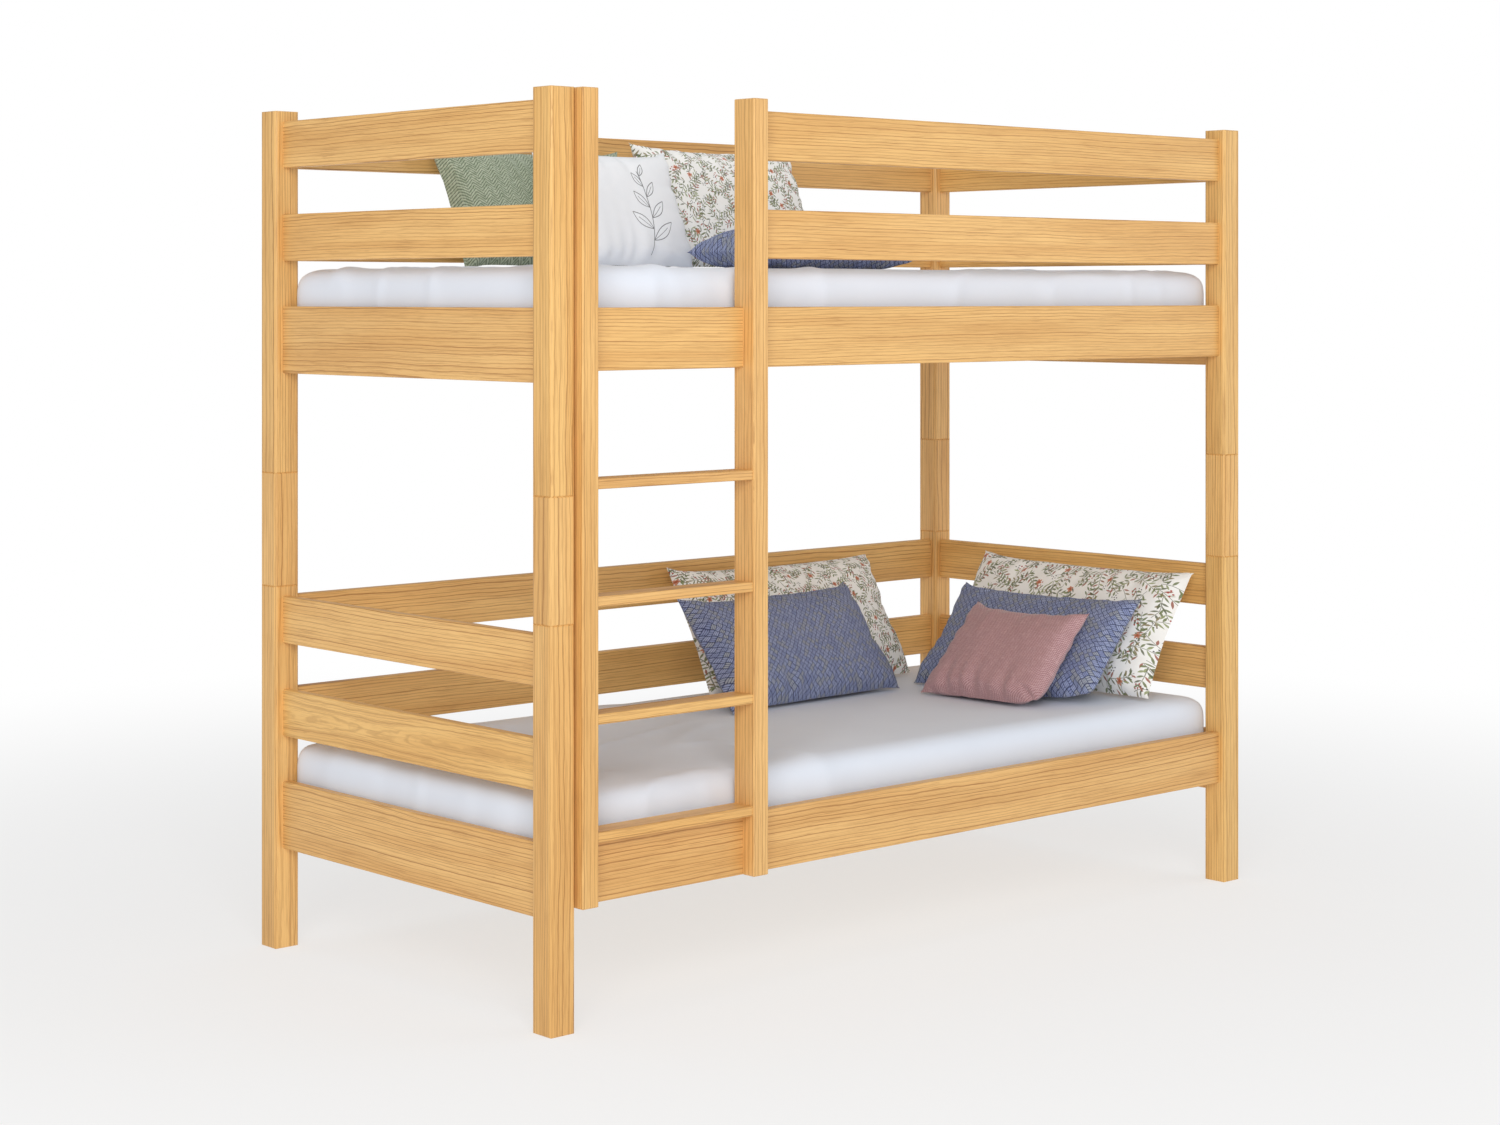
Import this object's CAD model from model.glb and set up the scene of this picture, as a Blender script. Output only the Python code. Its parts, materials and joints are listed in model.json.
"""Looks of the bunk bed: varnished pine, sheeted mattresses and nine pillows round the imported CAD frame."""

import json
import math
import random

import bpy
from mathutils import Matrix, Vector, noise
from mathutils.bvhtree import BVHTree


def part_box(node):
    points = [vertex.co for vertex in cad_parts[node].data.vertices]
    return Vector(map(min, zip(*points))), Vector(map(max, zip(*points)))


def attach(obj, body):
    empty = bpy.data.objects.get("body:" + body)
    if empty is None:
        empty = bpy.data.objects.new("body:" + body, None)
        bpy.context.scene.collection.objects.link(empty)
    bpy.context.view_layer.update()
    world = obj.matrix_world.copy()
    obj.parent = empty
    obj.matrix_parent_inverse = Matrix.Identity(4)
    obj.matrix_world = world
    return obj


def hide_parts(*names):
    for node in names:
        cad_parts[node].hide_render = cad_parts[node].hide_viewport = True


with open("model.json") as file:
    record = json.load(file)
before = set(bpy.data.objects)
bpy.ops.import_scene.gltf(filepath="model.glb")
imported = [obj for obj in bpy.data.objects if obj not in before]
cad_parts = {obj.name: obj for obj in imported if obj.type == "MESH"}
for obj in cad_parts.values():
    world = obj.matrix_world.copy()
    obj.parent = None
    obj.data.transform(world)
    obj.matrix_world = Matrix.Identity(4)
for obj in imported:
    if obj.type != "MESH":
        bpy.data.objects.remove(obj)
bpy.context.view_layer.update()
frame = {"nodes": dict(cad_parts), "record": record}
NODES = frame["nodes"]

# ---------------------------------------------------------------- driving values, in metres

SOFT_GAP = 0.0005  # between a CAD pillow and its mattress

# Pillows: mattress, x and y of the lower seam's centre, turn about Z, lean, width, height,
# front crown, back crown, how tight the filling is, material slot. The same values as in the CAD.
PILLOWS = {
    "back_floral_pillow": ("lower", 0.375, 0.278, 0, 28.5, 0.690, 0.345, 0.062, 0.030, 0.5, "floral_cotton"),
    "back_blue_pillow": ("lower", 0.231, 0.114, 3, 37, 0.585, 0.309, 0.062, 0.032, 0.7, "blue_weave"),
    "end_floral_pillow": ("lower", 0.812, -0.070, -91, 30, 0.705, 0.347, 0.060, 0.030, 0.5, "floral_cotton"),
    "end_blue_pillow": ("lower", 0.636, -0.100, -87, 40, 0.560, 0.308, 0.050, 0.032, 0.8, "blue_weave"),
    "pink_pillow": ("lower", 0.512, -0.147, -89, 42, 0.368, 0.279, 0.042, 0.028, 0.8, "pink_weave"),
    "green_pillow": ("upper", -0.396, 0.300, 0, 26, 0.551, 0.311, 0.058, 0.030, 0.6, "green_weave"),
    "upper_floral_pillow": ("upper", 0.158, 0.285, 2, 24, 0.530, 0.330, 0.058, 0.030, 0.5, "floral_cotton"),
    "white_pillow": ("upper", -0.284, 0.200, -2, 22, 0.400, 0.298, 0.045, 0.030, 0.7, "white_cotton"),
    "flat_blue_pillow": ("upper", 0.080, -0.152, 0, 90, 0.485, 0.290, 0.060, 0.038, 0.7, "blue_weave"),
}


# ---------------------------------------------------------------- node graph helper


def linear(r, g, b):
    """A colour given in 0..255 screen values, as the linear RGBA that a shader takes."""
    def one(c):
        c /= 255
        return c / 12.92 if c <= 0.04045 else ((c + 0.055) / 1.055) ** 2.4
    return (one(r), one(g), one(b), 1.0)


class Graph:
    """A material and short ways to add nodes to it. A value is a number, a tuple or a node's output."""

    def __init__(self, name):
        self.material = bpy.data.materials.new(name)
        self.material.use_nodes = True
        self.tree = self.material.node_tree
        self.shader = self.tree.nodes["Principled BSDF"]

    def feed(self, socket, value):
        if isinstance(value, bpy.types.NodeSocket):
            self.tree.links.new(value, socket)
        else:
            socket.default_value = value

    def add(self, kind, inputs=None, out=0, **settings):
        node = self.tree.nodes.new(kind)
        for key, value in settings.items():
            setattr(node, key, value)
        for key, value in (inputs or {}).items():
            self.feed(node.inputs[key], value)
        return node.outputs[out]

    def math(self, operation, a, b=0.0, c=0.0):
        return self.add("ShaderNodeMath", {0: a, 1: b, 2: c}, operation=operation)

    def vector(self, operation, a, b=(0, 0, 0)):
        return self.add("ShaderNodeVectorMath", {0: a, 1: b}, operation=operation)

    def split(self, vector):
        node = self.tree.nodes.new("ShaderNodeSeparateXYZ")
        self.feed(node.inputs[0], vector)
        return node.outputs[0], node.outputs[1], node.outputs[2]

    def join(self, x, y, z=0.0):
        return self.add("ShaderNodeCombineXYZ", {0: x, 1: y, 2: z})

    def object_coordinates(self):
        return self.add("ShaderNodeTexCoord", out="Object")

    def noise(self, vector, scale, detail=2.0, rough=0.5):
        return self.add("ShaderNodeTexNoise", {"Vector": vector, "Scale": scale, "Detail": detail,
                                               "Roughness": rough})

    def mix(self, factor, a, b, blend="MIX"):
        node = self.tree.nodes.new("ShaderNodeMix")
        node.data_type = "RGBA"
        node.blend_type = blend
        for socket, value in zip((node.inputs[0], node.inputs[6], node.inputs[7]), (factor, a, b)):
            self.feed(socket, value)
        return node.outputs[2]

    def mix_value(self, factor, a, b):
        return self.add("ShaderNodeMix", {0: factor, 2: a, 3: b})

    def steps(self, value, low, high, to_low=0.0, to_high=1.0, smooth=True):
        """Maps low..high to to_low..to_high and holds the ends."""
        node = self.tree.nodes.new("ShaderNodeMapRange")
        node.interpolation_type = "SMOOTHSTEP" if smooth else "LINEAR"
        for key, v in zip((0, 1, 2, 3, 4), (value, low, high, to_low, to_high)):
            self.feed(node.inputs[key], v)
        return node.outputs[0]

    def bump(self, height, strength, distance):
        normal = self.add("ShaderNodeBump", {"Height": height, "Strength": strength, "Distance": distance})
        self.feed(self.shader.inputs["Normal"], normal)

    def finish(self, color, roughness, **fixed):
        """Colour and roughness may be linked; every other setting is a plain number on the shader."""
        self.feed(self.shader.inputs["Base Color"], color)
        self.feed(self.shader.inputs["Roughness"], roughness)
        for key, value in fixed.items():
            self.shader.inputs[key.replace("_", " ")].default_value = value
        return self.material


# ---------------------------------------------------------------- wood

PINE = dict(early=linear(228, 177, 106), late=linear(164, 110, 54), pale=linear(240, 193, 122))
RAW_PINE = dict(early=linear(226, 194, 140), late=linear(196, 152, 96), pale=linear(234, 208, 160))
BEECH = dict(early=linear(222, 184, 138), late=linear(190, 143, 96), pale=linear(230, 198, 156))
PINE_RING = 0.0068  # from one year's ring to the next
BEECH_RING = 0.0025
FINE_RING = 0.17  # of a ring's width
ARCH_REACH = 0.055  # from the middle of a flat-sawn board to the pith
SLATS = 14  # in each bed, as in the CAD
SLAT_WIDTH = 0.070
SLAT_JUMP = (0.06, 1.5, 0.05)  # how far apart two slats may lie in their logs

# Boards sawn flat, whose rings open into arches on the face.
ARCHED_BOARDS = ("lower_left_middle_rail", "upper_back_middle_rail", "upper_right_middle_rail")


def wood(name, centre, axis, seed, tones, pitch=PINE_RING, cell=None, square=False, flat=False):
    """Wood sawn along a log: growth rings round its pith, fibres, pores and a satin varnish."""
    rng = random.Random(seed)
    g = Graph(name)
    p = g.vector("SUBTRACT", g.object_coordinates(), tuple(centre))
    if cell:  # rows of slats: each slat is cut from another place
        slat = g.math("ROUND", g.math("DIVIDE", g.split(p)[0], cell))
        jump = g.add("ShaderNodeTexWhiteNoise", {"W": slat}, "Color", noise_dimensions="1D")
        p = g.vector("ADD", p, g.vector("MULTIPLY", jump, SLAT_JUMP))
    x, y, z = g.split(p)
    along, across, depth = {"x": (x, z, y), "y": (y, z, x), "z": (z, x, y)}[axis]
    start = rng.uniform(0, 20)

    def streak(stretch, fine, detail=2.0, rough=0.5):
        """Noise drawn out along the board."""
        at = g.join(g.math("MULTIPLY_ADD", along, stretch, start), g.math("MULTIPLY", across, fine),
                    g.math("MULTIPLY", depth, fine))
        return g.noise(at, 1.0, detail, rough)

    # Where the pith lies: off a corner of a square post, or beside a board.
    turn = rng.choice((0.25, 0.75, 1.25, 1.75)) if square else rng.choice((0.0, 1.0))
    swing, reach = rng.uniform(-0.07, 0.07), rng.uniform(0.08, 0.17)
    angle = math.pi * (turn + swing * (1 if square else 2.6))
    if flat:  # straight off the board's face, so the rings open into long arches
        angle, reach = math.pi * 0.5, ARCH_REACH
    # Distance from the pith, bent by the log's slow sway and by two sorts of short ripples.
    a = g.math("SUBTRACT", across, reach * math.cos(angle))
    d = g.math("SUBTRACT", depth, reach * math.sin(angle))
    radius = g.math("SQRT", g.math("ADD", g.math("MULTIPLY", a, a), g.math("MULTIPLY", d, d)))
    radius = g.math("MULTIPLY_ADD", streak(0.9, 2.0, 1.0), 0.030, radius)
    radius = g.math("MULTIPLY_ADD", streak(6.0, 24.0), 0.0058, radius)
    radius = g.math("MULTIPLY_ADD", streak(26.0, 60.0), 0.0018, radius)
    ring = g.math("DIVIDE", radius, pitch)
    # Rings of unequal width. Each has a dark late band, of another strength every year.
    width = g.noise(g.join(g.math("MULTIPLY", radius, 70.0), start), 1.0, 1.0)
    ring = g.math("MULTIPLY_ADD", width, 1.3, ring)
    late = g.math("MULTIPLY", g.steps(g.math("FRACT", ring), 0.64, 0.94),
                  g.steps(g.math("FRACT", ring), 0.96, 1.0, 1.0, 0.0))
    year = g.add("ShaderNodeTexWhiteNoise", {"W": g.math("FLOOR", ring)}, noise_dimensions="1D")
    late = g.math("MULTIPLY", late, g.steps(year, 0.0, 1.0, 0.30, 1.0, False))
    # A second, finer set of rings between the strong ones, broken up along the board.
    fine_ring = g.math("PINGPONG", g.math("DIVIDE", radius, pitch * FINE_RING), 1.0)
    fine_ring = g.math("MULTIPLY", g.steps(fine_ring, 0.45, 0.95), g.steps(streak(3.5, 40.0), 0.38, 0.62))
    fibre = streak(9.0, 520.0, 3.0, 0.6)
    pores = streak(16.0, 900.0, 2.0)
    broad = streak(1.3, 18.0)
    color = g.mix(g.steps(broad, 0.35, 0.68), tones["early"], tones["pale"])
    color = g.mix(g.math("MULTIPLY", late, 0.62 if flat else 0.94), color, tones["late"])
    color = g.mix(g.math("MULTIPLY", fine_ring, 0.32), color, tones["late"])
    color = g.mix(g.steps(fibre, 0.50, 0.72, 0.0, 0.50), color, tones["late"])
    color = g.mix(g.steps(pores, 0.60, 0.72, 0.0, 0.45), color, tones["late"])
    tint = rng.uniform(0.96, 1.03)
    shift = (tint, tint * rng.uniform(0.985, 1.01), tint * rng.uniform(0.95, 1.03), 1)
    color = g.mix(1.0, color, shift, "MULTIPLY")
    g.bump(g.math("ADD", g.math("MULTIPLY", late, 0.5), g.math("MULTIPLY", fibre, 0.5)), 0.18, 0.0006)
    rough = g.steps(fibre, 0.3, 0.8, 0.42, 0.54, False)
    return g.finish(color, rough, Coat_Weight=0.10, Coat_Roughness=0.30, Specular_IOR_Level=0.38)


def long_axis(node):
    low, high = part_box(node)
    size = high - low
    return "xyz"[max(range(3), key=lambda k: size[k])]


def dress_wood():
    for index, name in enumerate(sorted(NODES)):
        slot = next(s["material_slot"] for s in frame["record"]["subparts"] if s["node"] == name)
        low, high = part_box(name)
        centre = (low + high) / 2
        if slot == "pine":
            square = "post" in name or "stile" in name
            flat = name in ARCHED_BOARDS
            paint(name, wood("pine_" + name, centre, long_axis(name), 700 + index, PINE,
                             square=square, flat=flat))
        elif name == "slat_cleats":
            paint(name, wood("raw_pine_cleats", centre, "x", 41, RAW_PINE))
        elif slot == "slat_wood":
            slat_step = (high.x - low.x - SLAT_WIDTH) / (SLATS - 1)
            paint(name, wood("raw_pine_" + name, centre, "y", 50 + index, RAW_PINE, cell=slat_step))


def paint(name, material):
    data = NODES[name].data
    data.materials.clear()
    data.materials.append(material)


# ---------------------------------------------------------------- metal and dowels


def metal(name, tone, rough):
    g = Graph(name)
    at = g.object_coordinates()
    stain = g.noise(at, 60.0, 3.0)
    color = g.mix(g.steps(stain, 0.4, 0.7, 0.0, 0.5), tone, tuple(c * 0.75 for c in tone[:3]) + (1.0,))
    g.bump(g.noise(at, 900.0, 2.0), 0.1, 0.0002)
    return g.finish(color, g.steps(stain, 0.3, 0.7, rough, rough + 0.15, False), Metallic=1.0)


def dress_hardware():
    zinc = metal("bright_zinc", linear(205, 208, 212), 0.28)
    for name in ("post_pins", "rail_studs", "rail_washers", "rail_nuts"):
        paint(name, zinc)
    paint("wood_screws", metal("yellow_zinc", linear(214, 184, 110), 0.30))
    low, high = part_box("wood_dowels")
    paint("wood_dowels", wood("beech", (low + high) / 2, "x", 5, BEECH, BEECH_RING))


# ---------------------------------------------------------------- fabrics


def cloth_uv(g):
    """Metres across a pillow's face, up it, and behind its seam."""
    x, y, z = g.split(g.object_coordinates())
    return x, z, y


def weave_height(g, u, v, threads):
    """Height of a basket weave: blocks of parallel threads that pass over and under each other."""
    odd = g.math("PINGPONG", g.math("ADD", g.math("FLOOR", u), g.math("FLOOR", v)), 1.0)
    fu, fv = g.math("FRACT", u), g.math("FRACT", v)
    along = g.mix_value(odd, fu, fv)
    over = g.mix_value(odd, fv, fu)
    ridge = g.math("ABSOLUTE", g.math("SINE", g.math("MULTIPLY", over, threads * math.pi)))
    arch = g.math("SINE", g.math("MULTIPLY", along, math.pi))
    return g.math("MULTIPLY", g.math("POWER", ridge, 0.6), g.math("POWER", arch, 0.5))


def basket(name, deep, mid, light, fleck, cell=0.0105, turn=45.0):
    """Coarse diagonal basket weave of two-tone yarn with a few duller threads."""
    g = Graph(name)
    x, z, _ = cloth_uv(g)
    wobble = g.noise(g.join(x, z), 25.0, 1.0)
    c, s = math.cos(math.radians(turn)) / cell, math.sin(math.radians(turn)) / cell
    u = g.math("ADD", g.math("MULTIPLY_ADD", z, s, g.math("MULTIPLY", x, c)), wobble)
    v = g.math("ADD", g.math("MULTIPLY_ADD", z, c, g.math("MULTIPLY", x, -s)), wobble)
    height = weave_height(g, u, v, 3)
    block = g.add("ShaderNodeTexWhiteNoise", {"Vector": g.join(g.math("FLOOR", u), g.math("FLOOR", v))},
                  noise_dimensions="2D")
    yarn = g.noise(g.join(g.math("MULTIPLY", x, 900.0), g.math("MULTIPLY", z, 900.0)), 1.0, 2.0)
    color = g.mix(g.steps(block, 0.0, 1.0, 0.15, 0.75, False), mid, light)
    color = g.mix(g.steps(block, 0.72, 0.80, 0.0, 0.55), color, fleck)
    color = g.mix(g.steps(yarn, 0.35, 0.75, 0.0, 0.35), color, light)
    color = g.mix(g.steps(height, 0.1, 0.8, 1.0, 0.0), color, deep)
    g.bump(height, 0.8, 0.0022)
    return g.finish(color, 0.88, Sheen_Weight=0.12, Sheen_Roughness=0.5, Specular_IOR_Level=0.2)


def herringbone(name, deep, mid, light, cell=0.0038):
    """Twill whose diagonal changes direction in every column."""
    g = Graph(name)
    x, z, _ = cloth_uv(g)
    u, v = g.math("DIVIDE", x, cell), g.math("DIVIDE", z, cell)
    zigzag = g.math("PINGPONG", g.math("ADD", u, g.math("MULTIPLY", g.noise(g.join(x, z), 18.0), 1.2)), 4.0)
    line = g.math("ADD", v, zigzag)
    ridge = g.math("ABSOLUTE", g.math("SINE", g.math("MULTIPLY", line, math.pi / 2)))
    cross = g.math("ABSOLUTE", g.math("SINE", g.math("MULTIPLY", u, math.pi)))
    height = g.math("MULTIPLY", g.math("POWER", ridge, 0.7), g.math("MULTIPLY_ADD", cross, 0.4, 0.6))
    spot = g.add("ShaderNodeTexWhiteNoise", {"Vector": g.join(g.math("FLOOR", u), g.math("FLOOR", line))},
                 noise_dimensions="2D")
    color = g.mix(g.steps(spot, 0.0, 1.0, 0.0, 0.8, False), mid, light)
    color = g.mix(g.steps(height, 0.1, 0.75, 0.9, 0.0), color, deep)
    g.bump(height, 0.7, 0.0016)
    return g.finish(color, 0.88, Sheen_Weight=0.12, Sheen_Roughness=0.5, Specular_IOR_Level=0.2)


def plain_weave(name, deep, light, cell=0.0024, slub=0.4):
    """Fine plain weave with slubs along both threads."""
    g = Graph(name)
    x, z, _ = cloth_uv(g)
    u, v = g.math("DIVIDE", x, cell), g.math("DIVIDE", z, cell)
    warp = g.math("SINE", g.math("MULTIPLY", u, math.pi))
    weft = g.math("SINE", g.math("MULTIPLY", v, math.pi))
    height = g.math("MULTIPLY_ADD", g.math("MULTIPLY", warp, weft), 0.5, 0.5)
    long_x = g.noise(g.join(g.math("MULTIPLY", x, 55.0), g.math("MULTIPLY", z, 700.0)), 1.0, 2.0)
    long_z = g.noise(g.join(g.math("MULTIPLY", x, 700.0), g.math("MULTIPLY", z, 55.0)), 1.0, 2.0)
    slubs = g.math("MAXIMUM", long_x, long_z)
    color = g.mix(g.steps(slubs, 0.5, 0.8, 0.0, slub), deep, light)
    color = g.mix(g.steps(height, 0.2, 0.9, 0.0, 0.5), color, light)
    g.bump(g.math("ADD", height, slubs), 0.4, 0.0008)
    return g.finish(color, 0.85, Sheen_Weight=0.25, Sheen_Roughness=0.45, Specular_IOR_Level=0.2)


def fine_threads(g, x, z):
    """The faint relief of a fine cotton."""
    weave = g.noise(g.join(g.math("MULTIPLY", x, 1800.0), g.math("MULTIPLY", z, 1800.0)), 1.0, 1.0)
    g.bump(weave, 0.12, 0.0003)


def tile(g, x, z, cell, turn, shift, jitter, seed):
    """Cells of a turned grid, each with its own place and direction.

    Returns x and y within the cell, in metres, and three random values of the cell."""
    flat = g.join(g.math("ADD", x, shift[0]), g.math("ADD", z, shift[1]))
    turned = g.add("ShaderNodeVectorRotate", {"Vector": flat, "Angle": turn}, rotation_type="Z_AXIS")
    scaled = g.vector("MULTIPLY", turned, (1 / cell, 1 / cell, 0))
    whole = g.vector("FLOOR", scaled)
    dice = g.add("ShaderNodeTexWhiteNoise", {"Vector": whole, "W": seed}, "Color", noise_dimensions="4D")
    r1, r2, r3 = g.split(dice)
    middle = g.vector("SUBTRACT", g.vector("SUBTRACT", scaled, whole), (0.5, 0.5, 0))
    off = g.vector("MULTIPLY", g.vector("SUBTRACT", dice, (0.5, 0.5, 0)), (jitter, jitter, 0))
    local = g.vector("SUBTRACT", middle, off)
    angle = g.math("MULTIPLY", r3, 2 * math.pi)
    spun = g.add("ShaderNodeVectorRotate", {"Vector": local, "Angle": angle}, rotation_type="Z_AXIS")
    sx, sy, _ = g.split(g.vector("MULTIPLY", spun, (cell, cell, 0)))
    return sx, sy, (r1, r2, r3)


def between(g, value, low, high, soft):
    """1 where value lies between low and high, with soft edges."""
    return g.math("MULTIPLY", g.steps(value, low, low + soft), g.steps(value, high - soft, high, 1.0, 0.0))


LEAF_TONES = [linear(116, 126, 82), linear(150, 158, 112), linear(140, 128, 92), linear(160, 96, 78),
              linear(98, 104, 76)]
STEM_TONE = linear(98, 100, 78)
SPRIG_CELL = 0.050
SPRIG_REACH = 0.0240  # half a sprig's length
LEAF_BELLY = 0.0019  # half a leaf's width
PRINT_EDGE = 0.0004  # softness of a printed edge
FLOWER_CELL = 0.064
FLOWER_RIM = 0.0074  # from a flower's middle to the tip of a petal
CORAL = linear(219, 150, 118)
RUST = linear(178, 92, 58)
BERRY = linear(172, 66, 58)
INK = linear(44, 42, 46)

# Where the dots of a cluster lie, from the middle of their cell.
INK_SPOTS = ((0, 0), (0.0048, 0.0014), (0.0016, 0.0052), (-0.0040, 0.0030), (-0.0010, -0.0048))
BERRY_SPOTS = ((0, 0), (0.0066, 0.0030), (0.0020, 0.0072), (-0.0052, 0.0044))


def sprigs(g, color, x, z, size, turn, shift, seed):
    """A curved stem in each cell with pairs of pointed leaves."""
    sx, sy, dice = tile(g, x, z, SPRIG_CELL * size, turn, shift, 0.12, seed)
    squared = g.math("MULTIPLY", sx, sx)
    curl = g.steps(dice[0], 0.0, 1.0, -9.0 / size, 9.0 / size, False)
    bend = g.math("MULTIPLY", squared, curl)
    across = g.math("ABSOLUTE", g.math("SUBTRACT", sy, bend))
    side = g.math("SIGN", g.math("SUBTRACT", sy, bend))
    reach = SPRIG_REACH * size
    inside = g.steps(g.math("ABSOLUTE", sx), reach, reach + PRINT_EDGE, 1.0, 0.0)
    stem = g.math("MULTIPLY", g.steps(across, 0.0004, 0.0009, 1.0, 0.0), inside)
    color = g.mix(g.math("MULTIPLY", stem, 0.85), color, STEM_TONE)
    # Leaves leave the stem in pairs; each has its own tone and length, and some are missing.
    pitch = reach / 2.5
    row = g.math("DIVIDE", g.math("ADD", sx, reach), pitch)
    number = g.math("FLOOR", row)
    place = g.math("MULTIPLY", g.math("FRACT", row), pitch)
    lean = math.radians(52)
    out = g.math("MULTIPLY_ADD", across, math.sin(lean), g.math("MULTIPLY", place, math.cos(lean)))
    off = g.math("MULTIPLY_ADD", across, math.cos(lean), g.math("MULTIPLY", place, -math.sin(lean)))
    which = g.add("ShaderNodeTexWhiteNoise", {"Vector": g.join(number, side, dice[1])}, "Color",
                  noise_dimensions="3D")
    pick, keep, long = g.split(which)
    length = g.steps(long, 0.0, 1.0, 0.0115 * size, 0.0160 * size, False)
    ratio = g.math("DIVIDE", out, length)
    belly = g.math("SINE", g.math("MULTIPLY", ratio, math.pi))
    edge = g.math("SUBTRACT", g.math("MULTIPLY", belly, LEAF_BELLY * size), g.math("ABSOLUTE", off))
    leaf = g.math("MULTIPLY", g.steps(edge, 0.0, PRINT_EDGE), between(g, ratio, 0.06, 0.98, 0.03))
    leaf = g.math("MULTIPLY", leaf, g.steps(keep, 0.14, 0.15))
    leaf = g.math("MULTIPLY", leaf, inside)
    tone = LEAF_TONES[0]
    for index, other in enumerate(LEAF_TONES[1:]):
        tone = g.mix(g.steps(pick, 0.36 + 0.16 * index, 0.37 + 0.16 * index), tone, other)
    return g.mix(g.math("MULTIPLY", leaf, 0.92), color, tone)


def blossoms(g, color, x, z, size, turn, shift, seed):
    """Five-petalled flowers, in some of the cells."""
    sx, sy, dice = tile(g, x, z, FLOWER_CELL * size, turn, shift, 0.45, seed)
    angle = g.math("ARCTAN2", sy, sx)
    radius = g.math("SQRT", g.math("ADD", g.math("MULTIPLY", sx, sx), g.math("MULTIPLY", sy, sy)))
    petals = g.math("ABSOLUTE", g.math("COSINE", g.math("MULTIPLY", angle, 2.5)))
    rim = g.math("MULTIPLY", g.math("MULTIPLY_ADD", petals, 0.5, 0.5), FLOWER_RIM * size)
    there = g.steps(dice[2], 0.42, 0.43)
    flower = g.math("MULTIPLY", g.steps(g.math("SUBTRACT", rim, radius), 0.0, 0.0005), there)
    tone = g.mix(g.steps(radius, 0.001, 0.008 * size), RUST, CORAL)
    color = g.mix(g.math("MULTIPLY", flower, 0.9), color, tone)
    heart = g.math("MULTIPLY", g.steps(radius, 0.0016 * size, 0.0020 * size, 1.0, 0.0), there)
    return g.mix(heart, color, RUST)


def dots(g, color, x, z, size, turn, shift, seed, tone, radius, spots, cell, chance):
    """Clusters of round dots, in some of the cells."""
    sx, sy, dice = tile(g, x, z, cell * size, turn, shift, 0.3, seed)
    mask = None
    for px, py in spots:
        dx = g.math("SUBTRACT", sx, px * size)
        dy = g.math("SUBTRACT", sy, py * size)
        away = g.math("SQRT", g.math("ADD", g.math("MULTIPLY", dx, dx), g.math("MULTIPLY", dy, dy)))
        spot = g.steps(away, radius * size, radius * size + PRINT_EDGE, 1.0, 0.0)
        mask = spot if mask is None else g.math("MAXIMUM", mask, spot)
    there = g.steps(dice[0], 1 - chance, 1 - chance + 0.01)
    return g.mix(g.math("MULTIPLY", g.math("MULTIPLY", mask, there), 0.95), color, tone)


def floral(name, size):
    """Cream cotton printed all over with leafy sprigs, small flowers, berries and dots."""
    g = Graph(name)
    x, z, depth = cloth_uv(g)
    x = g.math("MULTIPLY_ADD", g.math("SIGN", depth), 0.3, x)  # front and back take other parts of the print
    color = g.mix(g.noise(g.join(x, z), 30.0), linear(251, 250, 247), linear(244, 242, 237))
    color = dots(g, color, x, z, size, 0.4, (0.013, 0.027), 21, INK, 0.0011, INK_SPOTS, 0.034, 0.6)
    for turn, shift, seed in ((0.2, (0.0, 0.0), 3), (1.1, (0.031, 0.012), 7), (2.3, (0.017, 0.043), 11)):
        color = sprigs(g, color, x, z, size, turn, shift, seed)
    color = dots(g, color, x, z, size, 1.3, (0.021, 0.008), 31, BERRY, 0.0015, BERRY_SPOTS, 0.058, 0.55)
    color = blossoms(g, color, x, z, size, 0.7, (0.01, 0.02), 41)
    fine_threads(g, x, z)
    return g.finish(color, 0.86, Sheen_Weight=0.15, Sheen_Roughness=0.5, Specular_IOR_Level=0.25)


STEM_X = 0.055  # the drawn sprig: its stem's place on the pillow, and the stem's wave
STEM_SWAY = 0.014
STEM_WAVES = 13.0
DRAWN_LEAVES = 7
PEN = 0.0007  # half the width of a drawn line


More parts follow.
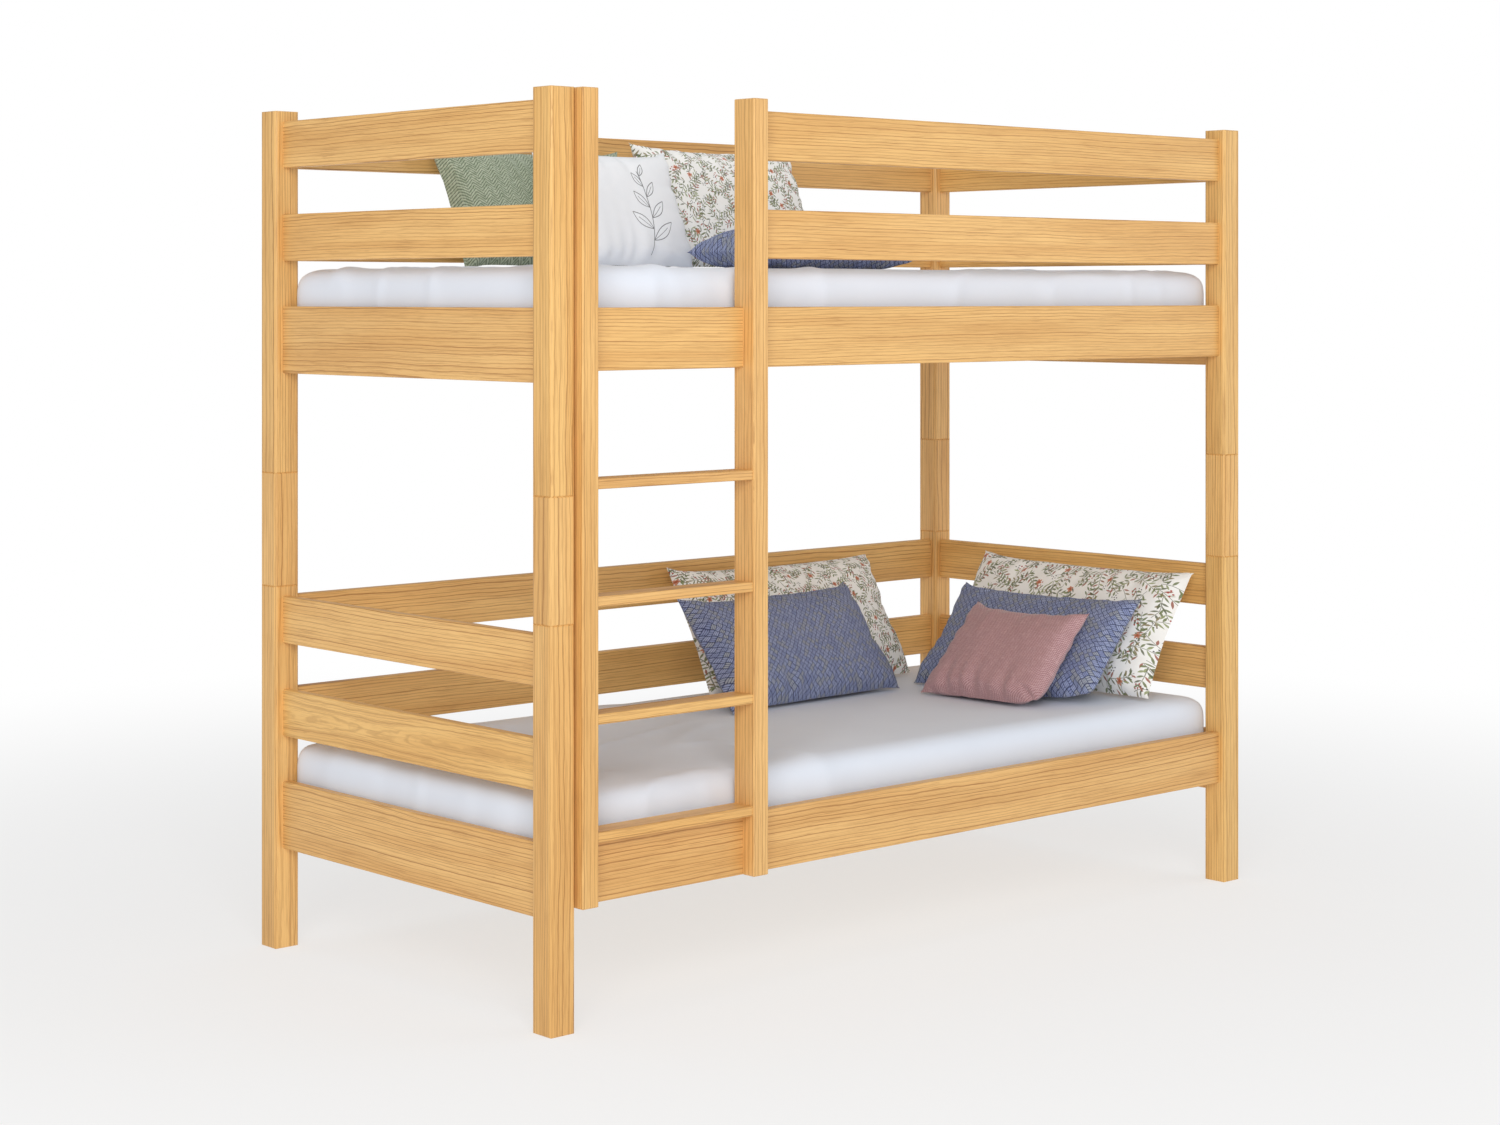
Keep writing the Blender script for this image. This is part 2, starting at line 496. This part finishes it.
def line_drawing(name):
    """White cotton with one leafy sprig drawn in a thin line on the front."""
    g = Graph(name)
    x, z, depth = cloth_uv(g)
    ground = g.mix(g.noise(g.join(x, z), 40.0), linear(246, 247, 249), linear(240, 242, 245))
    sway = g.math("MULTIPLY", g.math("SINE", g.math("MULTIPLY", z, STEM_WAVES)), STEM_SWAY)
    across = g.math("SUBTRACT", g.math("SUBTRACT", x, STEM_X), sway)
    mask = g.math("MULTIPLY", g.steps(g.math("ABSOLUTE", across), PEN, PEN * 1.6, 1.0, 0.0),
                  between(g, z, 0.025, 0.225, 0.001))
    for index in range(DRAWN_LEAVES):
        base_z = 0.055 + 0.026 * index
        base_x = STEM_X + STEM_SWAY * math.sin(STEM_WAVES * base_z)
        side = -1 if index % 2 else 1
        tilt = math.radians(90 - side * (62 - 5 * index))
        length = 0.070 - 0.0055 * index
        dx, dz = g.math("SUBTRACT", x, base_x), g.math("SUBTRACT", z, base_z)
        out = g.math("MULTIPLY_ADD", dz, math.sin(tilt), g.math("MULTIPLY", dx, math.cos(tilt)))
        off = g.math("MULTIPLY_ADD", dz, math.cos(tilt), g.math("MULTIPLY", dx, -math.sin(tilt)))
        curved = g.math("SUBTRACT", off, g.math("MULTIPLY", g.math("MULTIPLY", out, out), side * 2.2))
        away = g.math("ABSOLUTE", curved)
        ratio = g.math("DIVIDE", out, length)
        belly = g.math("MULTIPLY", g.math("SINE", g.math("MULTIPLY", ratio, math.pi)), length * 0.17)
        outline = g.math("ABSOLUTE", g.math("SUBTRACT", away, belly))
        on_leaf = between(g, ratio, 0.0, 1.0, 0.01)
        rib = g.math("MULTIPLY", g.steps(away, PEN * 0.7, PEN, 1.0, 0.0),
                     between(g, ratio, 0.0, 0.72, 0.01))
        edge = g.math("MULTIPLY", g.steps(outline, PEN, PEN * 1.6, 1.0, 0.0), on_leaf)
        mask = g.math("MAXIMUM", mask, g.math("MAXIMUM", rib, edge))
    front = g.steps(depth, -0.002, 0.0, 1.0, 0.0)
    color = g.mix(g.math("MULTIPLY", g.math("MULTIPLY", mask, front), 0.85), ground, INK)
    fine_threads(g, x, z)
    return g.finish(color, 0.82, Sheen_Weight=0.15, Sheen_Roughness=0.5, Specular_IOR_Level=0.25)


def sheet_cotton(name, half):
    """White fitted sheet. Underneath, inside the elastic hem, the mattress's own grey-white cover shows."""
    g = Graph(name)
    at = g.object_coordinates()
    x, y, z = g.split(at)
    ground = g.mix(g.noise(at, 6.0, 3.0), linear(231, 237, 247), linear(224, 230, 241))
    cover = g.mix(g.noise(at, 40.0, 3.0), linear(205, 206, 208), linear(190, 191, 194))
    edge = g.math("MINIMUM", g.math("SUBTRACT", half.x, g.math("ABSOLUTE", x)),
                  g.math("SUBTRACT", half.y, g.math("ABSOLUTE", y)))
    ripple = g.math("MULTIPLY", g.noise(at, 22.0), 0.02)
    inner = g.steps(g.math("ADD", edge, ripple), HEM_REACH, HEM_REACH + 0.002)
    under = g.math("MULTIPLY", inner, g.steps(z, -half.z + 0.006, -half.z + 0.008, 1.0, 0.0))
    color = g.mix(under, ground, cover)
    threads = g.math("ADD", g.noise(g.vector("MULTIPLY", at, (1500, 60, 60)), 1.0, 1.0),
                     g.noise(g.vector("MULTIPLY", at, (60, 1500, 60)), 1.0, 1.0))
    g.bump(threads, 0.08, 0.0003)
    return g.finish(color, 0.84, Sheen_Weight=0.15, Sheen_Roughness=0.5, Specular_IOR_Level=0.25)


BLUE = dict(deep=linear(44, 52, 88), mid=linear(122, 135, 182), light=linear(188, 197, 226),
            fleck=linear(156, 156, 138))
GREEN = dict(deep=linear(82, 94, 76), mid=linear(154, 166, 140), light=linear(204, 212, 188))
PINK = dict(deep=linear(156, 110, 115), light=linear(240, 208, 206))


# The floral print's scale, on the pillows where it is not 1.
PRINT_SIZE = {"end_floral_pillow": 1.3}


def fabric(slot, size):
    if slot == "blue_weave":
        return basket("blue_basket_weave", **BLUE)
    if slot == "green_weave":
        return herringbone("green_herringbone", **GREEN)
    if slot == "pink_weave":
        return plain_weave("pink_plain_weave", **PINK)
    if slot == "white_cotton":
        return line_drawing("white_drawn_cotton")
    return floral("floral_print_%d" % round(100 * size), size)


# ---------------------------------------------------------------- soft pieces


def new_piece(name, points, quads, place):
    mesh = bpy.data.meshes.new(name)
    mesh.from_pydata(points, [], quads)
    mesh.update()
    piece = bpy.data.objects.new(name, mesh)
    piece.matrix_world = place
    bpy.context.scene.collection.objects.link(piece)
    return piece


def settle(piece):
    """Applies one subdivision, and shades the faces smooth."""
    piece.modifiers.new("finer", "SUBSURF").levels = 1
    graph = bpy.context.evaluated_depsgraph_get()
    mesh = bpy.data.meshes.new_from_object(piece.evaluated_get(graph))
    piece.modifiers.clear()
    piece.data = mesh
    mesh.polygons.foreach_set("use_smooth", [True] * len(mesh.polygons))


# Mattresses: a rounded block in a fitted sheet.

SHEET_CELL = 0.018
MATTRESS_ROUND = 0.048  # radius of a mattress's edges
ROUND_POWER = 2.2  # how square the edges' profile is; 2 is a circle
PLAN_POWER = 4.5  # the same for the corners, seen from above
FOLD_CORE = 0.05  # folds point away from a core this far inside the block
SHEET_IN = 0.002  # room for the folds inside the CAD block
SHEET_OUT = 0.006  # how far the sheet's ends bulge past the CAD block
SHEET_LIMIT = 0.0070  # the most that the sheet may stand out sideways, short of the end rails
HEM_REACH = 0.085  # how far the hem reaches in under the mattress
HEM_WIDTH = 0.018
UNDERSIDE = 0.02  # height of the zone that counts as underneath
SHEET_LIFT = 0.0004  # of the sheet's underside and flat top over the CAD block's
FOLD_TOP = 0.006  # the most that folds may stand up from the top
POST_GAP = 0.0015
HAND = 0.09  # folds fade out this close to the pillows

# Where the pillows lie on each mattress, in x and y.
PILLOW_ZONES = {"lower": ((-0.10, 1.01), (-0.46, 0.46)), "upper": ((-0.70, 0.46), (-0.32, 0.46))}


def block_surface(half, counts):
    """Points and quads of a box's surface as one closed grid."""
    index, points, quads = {}, [], []

    def point(cell):
        if cell not in index:
            index[cell] = len(points)
            points.append(Vector([(2 * cell[k] / counts[k] - 1) * half[k] for k in range(3)]))
        return index[cell]

    for k in range(3):
        a, b = (k + 1) % 3, (k + 2) % 3
        for level in (0, counts[k]):
            for i in range(counts[a]):
                for j in range(counts[b]):
                    corners = []
                    for da, db in ((0, 0), (1, 0), (1, 1), (0, 1)):
                        cell = [0, 0, 0]
                        cell[k], cell[a], cell[b] = level, i + da, j + db
                        corners.append(point(tuple(cell)))
                    quads.append(corners if level else corners[::-1])
    return points, quads


def core_point(p, half, r):
    """The nearest point to p of a box that is smaller by r on every side."""
    return Vector([max(-(half[k] - r), min(half[k] - r, p[k])) for k in range(3)])


def rounded(p, half, r, power):
    """A box surface point, pushed out from the box's core so that edges and corners are round."""
    core = core_point(p, half, r)
    d = p - core
    plan = (abs(d.x) ** PLAN_POWER + abs(d.y) ** PLAN_POWER) ** (1 / PLAN_POWER)
    size = (plan ** power + abs(d.z) ** power) ** (1 / power)
    return core + d * (r / size) if size else p


def ridged(x, y, seed):
    """Soft folds: ridges of a slow noise, 0 to 1."""
    value = noise.noise(Vector((x, y, seed)))
    return max(0.0, 1 - abs(value) * 5.5) ** 2


def free_of_pillows(p, zone):
    """0 where pillows lie on the mattress, rising to 1 a hand's width away from them."""
    (x0, x1), (y0, y1) = zone
    away = math.hypot(max(x0 - p.x, 0.0, p.x - x1), max(y0 - p.y, 0.0, p.y - y1))
    return min(1.0, away / HAND)


def sheet_relief(p, half, seed, free):
    """How far the sheet stands off the mattress: slack, long soft folds and gathers at the corners."""
    top = max(0.0, min(1.0, (p.z + half.z) / (2 * half.z)))
    slack = 0.0016 * noise.noise(Vector((p.x * 3.1, p.y * 4.0, seed)))
    turned = (p.x * 0.94 + p.y * 0.34, p.y * 0.94 - p.x * 0.34)
    long_fold = ridged(turned[0] * 2.4, turned[1] * 6.5, seed + 5) * 0.0075
    near_side = min(1.0, max(0.0, (abs(p.y) - 0.20) / 0.20))
    reach_x = min(1.0, max(0.0, (abs(p.x) - half.x + 0.55) / 0.30))
    cross = ridged(p.x * 7.5 + p.y * 2.2, p.y * 1.6, seed + 9) * 0.0065 * near_side * reach_x
    corner = math.hypot(half.x - abs(p.x), half.y - abs(p.y))
    gather = math.exp(-(corner / 0.16) ** 2) * (1 - 0.75 * top)
    run = math.atan2(half.y - abs(p.y), half.x - abs(p.x))
    which = seed + math.copysign(2, p.x) + math.copysign(1, p.y)
    gather *= 0.0045 * noise.noise(Vector((run * 5.0, corner * 8.0, which)))
    return slack + (long_fold + cross) * free + gather


def clear_of_posts(piece):
    """Takes the sheet's corners out of the posts, in plan, so they clear them at any height."""
    place = piece.matrix_world
    for side in ("front", "back"):
        for end in ("left", "right"):
            low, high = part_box("lower_post_%s_%s" % (side, end))
            for vertex in piece.data.vertices:
                world = place @ vertex.co
                if not (low.x - POST_GAP < world.x < high.x + POST_GAP
                        and low.y - POST_GAP < world.y < high.y + POST_GAP):
                    continue
                inner_x = low.x - POST_GAP if end == "right" else high.x + POST_GAP
                inner_y = low.y - POST_GAP if side == "back" else high.y + POST_GAP
                if abs(world.x - inner_x) < abs(world.y - inner_y):
                    vertex.co.x += inner_x - world.x
                else:
                    vertex.co.y += inner_y - world.y


def make_mattress(level, seed):
    """One mattress with its sheet. Returns the height of the CAD block's top."""
    node = level + "_mattress"
    low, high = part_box(node)
    half = (high - low) / 2
    counts = [max(8, round(2 * half[k] / SHEET_CELL)) for k in range(3)]
    box_points, quads = block_surface(half, counts)
    points = []
    for p in box_points:
        q = rounded(p, half, MATTRESS_ROUND, ROUND_POWER)
        normal = (q - core_point(q, half, FOLD_CORE)).normalized()
        free = free_of_pillows(q, PILLOW_ZONES[level])
        relief = sheet_relief(q, half, seed, free)
        q = q + normal * (relief - SHEET_IN)
        q.x += math.copysign(SHEET_OUT * (abs(q.x) / half.x) ** 8, q.x)
        q.x = max(-half.x - SHEET_LIMIT, min(half.x + SHEET_LIMIT, q.x))
        edge = min(half.x - abs(q.x), half.y - abs(q.y))
        if q.z < -half.z + UNDERSIDE:
            gather = 0.0022 * abs(noise.noise(Vector((q.x * 28, q.y * 28, seed))))
            hem = math.exp(-((edge - HEM_REACH) / HEM_WIDTH) ** 2)
            q.z += gather * hem + (0.0015 if edge > HEM_REACH else 0.0)
        q.z = min(max(q.z, -half.z + SHEET_LIFT), half.z + SHEET_LIFT + FOLD_TOP * free)
        points.append(q)
    piece = new_piece(node + "_sheet", points, quads, Matrix.Translation((low + high) / 2))
    settle(piece)
    clear_of_posts(piece)
    piece.data.materials.append(sheet_cotton(node + "_cotton", half))
    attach(piece, node)
    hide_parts(node)
    return high.z


# Pillows: two sheets of cloth sewn round the edge, filled, then puffed up by a cloth simulation.

CLOTH_CELL = 0.0105
SEAM_PULL = (0.030, 0.045)  # how far the side and upper seams are drawn in, of half the width and height
SQUARE_POWER = 4.5  # how square a full lower corner is
PUCKER_REACH = 0.042
CLOTH_FRAMES = 18
CLOTH_CAP = 0.009
REST_GAP = 0.0008  # of a pillow's underside over the CAD mattress's top
PRESS_REACH = 0.020  # points deeper than this in the pillow behind are not found, and stay
PRESS_GAP = 0.0015

# Pillows that lean on one another: the one behind, then the one in front of it.
LEANING = (("back_floral_pillow", "back_blue_pillow"), ("end_floral_pillow", "end_blue_pillow"),
           ("end_blue_pillow", "pink_pillow"), ("green_pillow", "white_pillow"),
           ("upper_floral_pillow", "white_pillow"))


def pillow_points(w, h, front, back, tight, seed):
    """Points, quads and seam edges of two sheets sewn together. The tightest fill their lower corner."""
    heavy = max(0.0, tight - 0.7) * 10
    across, up = round(w / CLOTH_CELL), round(h / CLOTH_CELL)
    points, index = [], {}
    for side, depth in ((0, -front), (1, back)):
        for i in range(across + 1):
            for j in range(up + 1):
                rim = i in (0, across) or j in (0, up)
                if rim and side:
                    index[side, i, j] = index[0, i, j]
                    continue
                u, v = 2 * i / across - 1, 2 * j / up - 1
                full = (1 - abs(u) ** 4) * (1 - abs(v) ** (3.6 + 2 * heavy if v < 0 else 2.4))
                if v < 0 and (u or v):
                    squarest = max(abs(u), abs(v))
                    inset = squarest / (abs(u) ** SQUARE_POWER + abs(v) ** SQUARE_POWER) ** (1 / SQUARE_POWER)
                    inset = 1 + (inset - 1) * heavy * abs(v) * (u > 0)
                    u, v = u * inset, v * inset
                x = w / 2 * (u - math.copysign(abs(u) ** 5 * SEAM_PULL[0] * (1 - v * v), u))
                z = h / 2 * (1 + v - (v ** 5 * SEAM_PULL[1] * (1 - u * u) if v > 0 else 0.0))
                seam_x, seam_z = (1 - abs(u)) * w / 2, (1 - abs(v)) * h / 2
                run = z if seam_x < seam_z else x
                gather = math.exp(-min(seam_x, seam_z) / (PUCKER_REACH * (1 + 0.15 * heavy)))
                pucker = gather * noise.noise(Vector((run * 34, seed, 3 * side + (u > 0) + 2 * (v > 0))))
                lump = noise.noise(Vector((u * 1.7, v * 1.4, seed * 3.1 + side)))
                thick = max(0.0, full) ** 0.6 * (1 + 0.12 * lump + (0.60 + 0.10 * heavy) * pucker)
                seam_wave = 0.0035 * noise.noise(Vector((x * 9, z * 9, seed + 0.5))) * (1 if rim else gather)
                index[side, i, j] = len(points)
                points.append(Vector((x, depth * 0.94 * thick + seam_wave, z)))
    quads = []
    for side in (0, 1):
        for i in range(across):
            for j in range(up):
                corners = [index[side, i + a, j + b] for a, b in ((0, 0), (1, 0), (1, 1), (0, 1))]
                quads.append(corners[::-1] if side else corners)
    seam = [(index[0, i, j], index[0, i + a, j + b])
            for i in range(across + 1) for j in range(up + 1)
            for a, b in (((1, 0),) if j in (0, up) and i < across else ())
            + (((0, 1),) if i in (0, across) and j < up else ())]
    return points, quads, seam


def puff(pieces):
    """Cloth under pressure, all pillows in one run. Each point ends at most CLOTH_CAP from where it was."""
    for piece in pieces:
        cloth = piece.modifiers.new("cloth", "CLOTH")
        values = cloth.settings
        values.quality = 5
        values.mass = 0.2
        values.tension_stiffness = values.compression_stiffness = 20
        values.shear_stiffness = 10
        values.bending_stiffness = 0.3
        values.shrink_min = -0.06
        values.use_pressure = True
        values.uniform_pressure_force = 4
        values.effector_weights.gravity = 0
        cloth.collision_settings.use_collision = False
        cloth.point_cache.frame_start, cloth.point_cache.frame_end = 1, CLOTH_FRAMES
    scene = bpy.context.scene
    for number in range(1, CLOTH_FRAMES + 1):
        scene.frame_set(number)
    graph = bpy.context.evaluated_depsgraph_get()
    for piece in pieces:
        moved = [v.co.copy() for v in piece.evaluated_get(graph).data.vertices]
        piece.modifiers.clear()
        for vertex, new in zip(piece.data.vertices, moved):
            step = new - vertex.co
            if step.length > CLOTH_CAP:
                step *= CLOTH_CAP / step.length
            vertex.co += step
    scene.frame_set(1)


def sharpen_seam(piece, seam):
    """The seam stays a clean edge through the subdivision."""
    wanted = {tuple(sorted(pair)) for pair in seam}
    crease = piece.data.attributes.new("crease_edge", "FLOAT", "EDGE")
    for edge in piece.data.edges:
        if tuple(sorted(edge.vertices)) in wanted:
            edge.use_edge_sharp = True
            crease.data[edge.index].value = 0.9


def rest_on(piece, level_z):
    """Flattens the pillow where it lies on the mattress."""
    place = piece.matrix_world
    back = place.inverted()
    for vertex in piece.data.vertices:
        world = place @ vertex.co
        if world.z < level_z + REST_GAP:
            world.z = level_z + REST_GAP
            vertex.co = back @ world


def press_against(front, behind):
    """Dents the front pillow where it would sink into the one behind it."""
    place = behind.matrix_world
    tree = BVHTree.FromPolygons([place @ v.co for v in behind.data.vertices],
                                [tuple(face.vertices) for face in behind.data.polygons])
    place = front.matrix_world
    back = place.inverted()
    for vertex in front.data.vertices:
        world = place @ vertex.co
        hit, normal, _, away = tree.find_nearest(world, PRESS_REACH)
        if hit is not None and (away < PRESS_GAP or (world - hit).dot(normal) < 0):
            vertex.co = back @ (hit + normal * PRESS_GAP)


def make_pillows(tops):
    """All pillows, on mattresses whose tops are at the given heights."""
    pieces = {}
    for number, (name, spec) in enumerate(PILLOWS.items()):
        level, x, y, turn, lean, w, h, front, back, tight, _ = spec
        lift = back + SOFT_GAP if lean == 90 else 0.0  # a leaning pillow sinks in until its seam touches
        place = (Matrix.Translation((x, y, tops[level] + lift))
                 @ Matrix.Rotation(math.radians(turn), 4, "Z") @ Matrix.Rotation(math.radians(-lean), 4, "X"))
        points, quads, seam = pillow_points(w, h, front, back, tight, 17 + number)
        piece = new_piece(name + "_cover", points, quads, place)
        sharpen_seam(piece, seam)
        pieces[name] = piece
    bpy.context.view_layer.update()
    puff(list(pieces.values()))
    for name, piece in pieces.items():
        level, tight, slot = (PILLOWS[name][k] for k in (0, 9, 10))
        bpy.context.view_layer.update()
        rest_on(piece, tops[level])
        settle(piece)
        piece.data.materials.append(fabric(slot, PRINT_SIZE.get(name, 1.0)))
        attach(piece, name)
        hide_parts(name)
    bpy.context.view_layer.update()
    for behind, front in LEANING:
        press_against(pieces[front], pieces[behind])


# ---------------------------------------------------------------- stage


def area_light(name, location, target, size, power):
    data = bpy.data.lights.new(name, "AREA")
    data.shape = "RECTANGLE"
    data.size, data.size_y = size
    data.energy = power
    light = bpy.data.objects.new(name, data)
    light.location = location
    light.rotation_euler = (Vector(target) - Vector(location)).to_track_quat("-Z", "Y").to_euler()
    bpy.context.scene.collection.objects.link(light)


def make_stage():
    """A pale floor that fades to white far out, a soft sky and three lights."""
    bpy.ops.mesh.primitive_plane_add(size=80, location=(0, 0, 0))
    floor = bpy.context.object
    floor.name = "floor"
    g = Graph("pale_floor")
    mottle = g.noise(g.object_coordinates(), 1.5, 2.0)
    tone = g.mix(mottle, (0.88, 0.88, 0.88, 1), (0.90, 0.90, 0.90, 1))
    g.finish(tone, 0.85, Specular_IOR_Level=0.2)
    x, y, _ = g.split(g.object_coordinates())
    away = g.math("SQRT", g.math("ADD", g.math("MULTIPLY", x, x), g.math("MULTIPLY", y, y)))
    far = g.add("ShaderNodeMixShader", {0: g.steps(away, 1.2, 4.5, 0.60, 1.0), 1: g.shader.outputs[0],
                                        2: g.add("ShaderNodeEmission", {"Color": (1, 1, 1, 1)})})
    g.feed(g.tree.nodes["Material Output"].inputs["Surface"], far)
    floor.data.materials.append(g.material)

    world = bpy.data.worlds.new("studio")
    bpy.context.scene.world = world
    world.use_nodes = True
    tree = world.node_tree
    # The camera sees plain white; everything else is lit by a dimmer, slightly blue sky.
    ambient = tree.nodes["Background"]
    ambient.inputs[0].default_value = (0.97, 0.985, 1.0, 1)
    ambient.inputs[1].default_value = 0.42
    seen = tree.nodes.new("ShaderNodeBackground")
    seen.inputs[0].default_value = (1, 1, 1, 1)
    seen.inputs[1].default_value = 1.0
    path = tree.nodes.new("ShaderNodeLightPath")
    choose = tree.nodes.new("ShaderNodeMixShader")
    tree.links.new(path.outputs["Is Camera Ray"], choose.inputs[0])
    tree.links.new(ambient.outputs[0], choose.inputs[1])
    tree.links.new(seen.outputs[0], choose.inputs[2])
    tree.links.new(choose.outputs[0], tree.nodes["World Output"].inputs[0])

    middle = (0, 0, 0.9)
    area_light("key", (-5.0, -5.4, 3.4), middle, (4.5, 3.5), 280)
    area_light("fill", (4.5, -4.5, 2.6), middle, (4.0, 3.0), 50)
    area_light("top", (0.0, 0.5, 5.0), middle, (5.0, 4.0), 40)
    bpy.context.scene.view_settings.view_transform = "Standard"


def make_camera():
    """The photograph's camera, solved from the bed's straight edges."""
    data = bpy.data.cameras.new("camera")
    data.sensor_width = 36  # mm, as the lens
    data.lens = 65.36
    data.shift_y = -0.1773
    camera = bpy.data.objects.new("camera", data)
    camera.location = (-4.2294, -4.5526, 1.4011)
    camera.rotation_euler = (math.radians(90), 0, math.radians(-42.29))
    bpy.context.scene.collection.objects.link(camera)
    bpy.context.scene.camera = camera


make_camera()
make_stage()
dress_wood()
dress_hardware()
make_pillows({"lower": make_mattress("lower", 3), "upper": make_mattress("upper", 8)})
